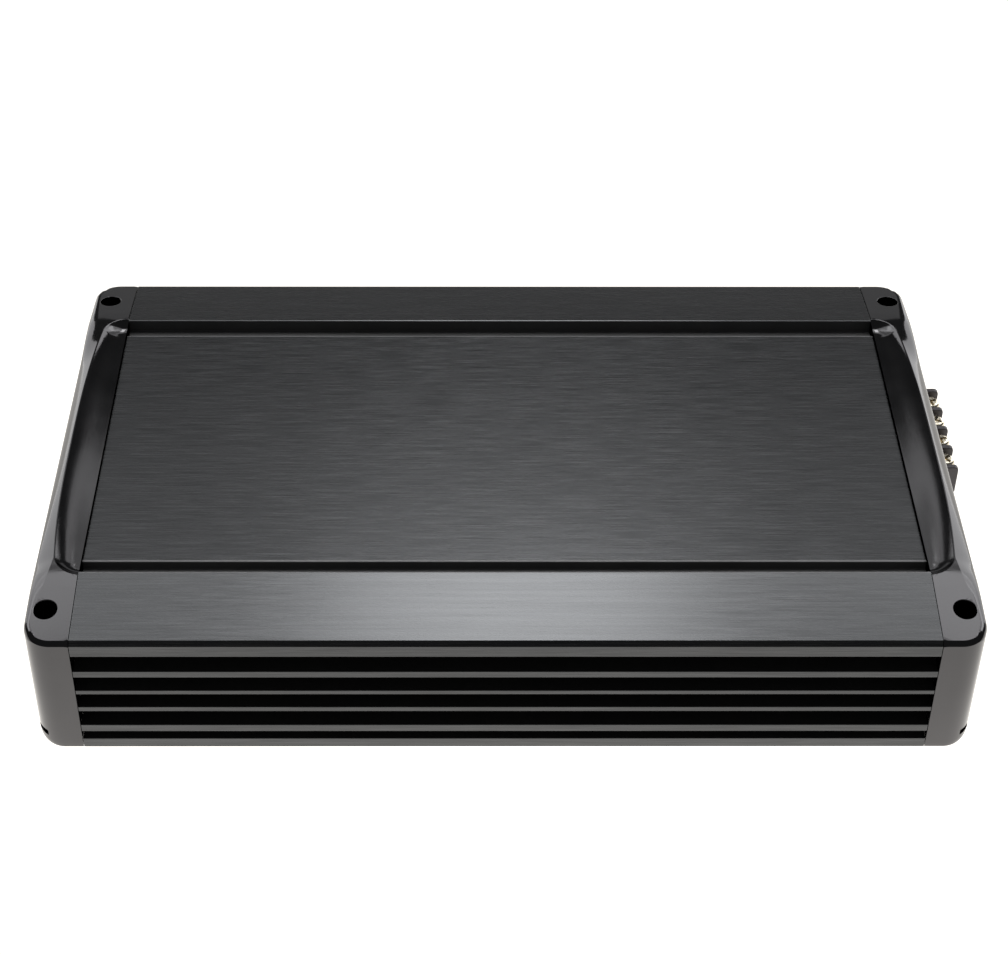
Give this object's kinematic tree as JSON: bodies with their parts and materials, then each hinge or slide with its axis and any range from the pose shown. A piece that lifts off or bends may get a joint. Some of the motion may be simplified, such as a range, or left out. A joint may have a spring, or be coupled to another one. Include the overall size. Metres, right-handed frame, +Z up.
{
  "type": "car amplifier",
  "caption": "Low finned aluminium car amplifier with cast end caps, corner mounting holes, screw terminals, fuses, signal jacks, level knobs and filter switches.",
  "frame": {"origin": "middle of the flat underside of the bottom plate", "axes": "+X along the length towards the power terminals, +Y to the rear, -Y is the front face, +Z up"},
  "size_m": [0.2786, 0.169, 0.0453],
  "materials": {
    "black_anodised": "brushed along the length, black anodised",
    "black_casting": "smooth satin black",
    "black_steel": "matt black powder coat",
    "nickel": "bright nickel plate",
    "zinc_screw": "black zinc plate",
    "terminal_plastic": "moulded, satin",
    "black_plastic": "moulded, satin",
    "board_green": "solder resist",
    "copper_winding": "enamelled copper wire",
    "core_grey": "moulded",
    "capacitor_sleeve": "shrink sleeve",
    "fuse_red": "translucent moulding",
    "fuse_blue": "translucent moulding",
    "led_green": "tinted epoxy",
    "led_red": "tinted epoxy"
  },
  "bodies": {
    "chassis": {"bottom_plate": "black_steel", "bottom_screw_1": "zinc_screw", "bottom_screw_2": "zinc_screw", "bottom_screw_3": "zinc_screw", "bottom_screw_4": "zinc_screw", "capacitor_1": "capacitor_sleeve", "capacitor_2": "capacitor_sleeve", "capacitor_3": "capacitor_sleeve", "clamp_bar_front": "zinc_screw", "clamp_bar_rear": "zinc_screw", "end_cap_left": "black_casting", "end_cap_right": "black_casting", "end_plate_left": "black_steel", "end_plate_right": "black_steel", "end_screw_left_1": "zinc_screw", "end_screw_left_2": "zinc_screw", "end_screw_left_3": "zinc_screw", "end_screw_left_4": "zinc_screw", "end_screw_right_1": "zinc_screw", "end_screw_right_2": "zinc_screw", "end_screw_right_3": "zinc_screw", "end_screw_right_4": "zinc_screw", "fuse_holder": "black_plastic", "heatsink": "black_anodised", "input_choke": "copper_winding", "input_jack_1": "nickel", "input_jack_2": "nickel", "input_jack_3": "nickel", "input_jack_4": "nickel", "jack_block": "black_plastic", "lamp_green": "led_green", "lamp_red": "led_red", "main_board": "board_green", "potentiometer_1": "core_grey", "potentiometer_2": "core_grey", "potentiometer_3": "core_grey", "potentiometer_4": "core_grey", "power_terminal": "terminal_plastic", "speaker_socket": "black_plastic", "switch_body_1": "core_grey", "switch_body_2": "core_grey", "toroid_transformer": "copper_winding", "transistor_front_1": "black_plastic", "transistor_front_2": "black_plastic", "transistor_front_3": "black_plastic", "transistor_rear_1": "black_plastic", "transistor_rear_2": "black_plastic", "transistor_rear_3": "black_plastic"},
    "fuse_1": {"fuse_1": "fuse_red"},
    "fuse_2": {"fuse_2": "fuse_blue"},
    "knob_1": {"knob_1": "black_plastic"},
    "knob_2": {"knob_2": "black_plastic"},
    "knob_3": {"knob_3": "black_plastic"},
    "knob_4": {"knob_4": "black_plastic"},
    "switch_nub_1": {"switch_nub_1": "black_plastic"},
    "switch_nub_2": {"switch_nub_2": "black_plastic"},
    "terminal_screw_1": {"terminal_screw_1": "nickel"},
    "terminal_screw_2": {"terminal_screw_2": "nickel"},
    "terminal_screw_3": {"terminal_screw_3": "nickel"},
    "terminal_screw_4": {"terminal_screw_4": "nickel"}
  },
  "joints": [
    {"name": "knob_1_turn", "type": "hinge", "parent": "chassis", "child": "knob_1", "pos_m": [-0.1279, -0.011, 0.0195], "axis": [-1, 0, 0], "range_deg": [-150, 150]},
    {"name": "knob_2_turn", "type": "hinge", "parent": "chassis", "child": "knob_2", "pos_m": [-0.1279, -0.0215, 0.0195], "axis": [-1, 0, 0], "range_deg": [-150, 150]},
    {"name": "knob_3_turn", "type": "hinge", "parent": "chassis", "child": "knob_3", "pos_m": [-0.1279, -0.044, 0.0195], "axis": [-1, 0, 0], "range_deg": [-150, 150]},
    {"name": "knob_4_turn", "type": "hinge", "parent": "chassis", "child": "knob_4", "pos_m": [-0.1279, -0.0535, 0.0195], "axis": [-1, 0, 0], "range_deg": [-150, 150]},
    {"name": "switch_1_slide", "type": "slide", "parent": "chassis", "child": "switch_nub_1", "axis": [0, 1, 0], "range_m": [-0.0025, 0.0025]},
    {"name": "switch_2_slide", "type": "slide", "parent": "chassis", "child": "switch_nub_2", "axis": [0, 1, 0], "range_m": [-0.0025, 0.0025]},
    {"name": "fuse_1_pull", "type": "slide", "parent": "chassis", "child": "fuse_1", "axis": [1, 0, 0], "range_m": [0, 0.015]},
    {"name": "fuse_2_pull", "type": "slide", "parent": "chassis", "child": "fuse_2", "axis": [1, 0, 0], "range_m": [0, 0.015]},
    {"name": "terminal_screw_1_turn", "type": "hinge", "parent": "chassis", "child": "terminal_screw_1", "pos_m": [0.1399, 0.0161, 0.0235], "axis": [0, 0, 1], "range_deg": [0, 630]},
    {"name": "terminal_screw_2_turn", "type": "hinge", "parent": "chassis", "child": "terminal_screw_2", "pos_m": [0.1399, 0.0257, 0.0235], "axis": [0, 0, 1], "range_deg": [0, 630]},
    {"name": "terminal_screw_3_turn", "type": "hinge", "parent": "chassis", "child": "terminal_screw_3", "pos_m": [0.1399, 0.0353, 0.0235], "axis": [0, 0, 1], "range_deg": [0, 630]},
    {"name": "terminal_screw_4_turn", "type": "hinge", "parent": "chassis", "child": "terminal_screw_4", "pos_m": [0.1399, 0.0449, 0.0235], "axis": [0, 0, 1], "range_deg": [0, 630]}
  ]
}
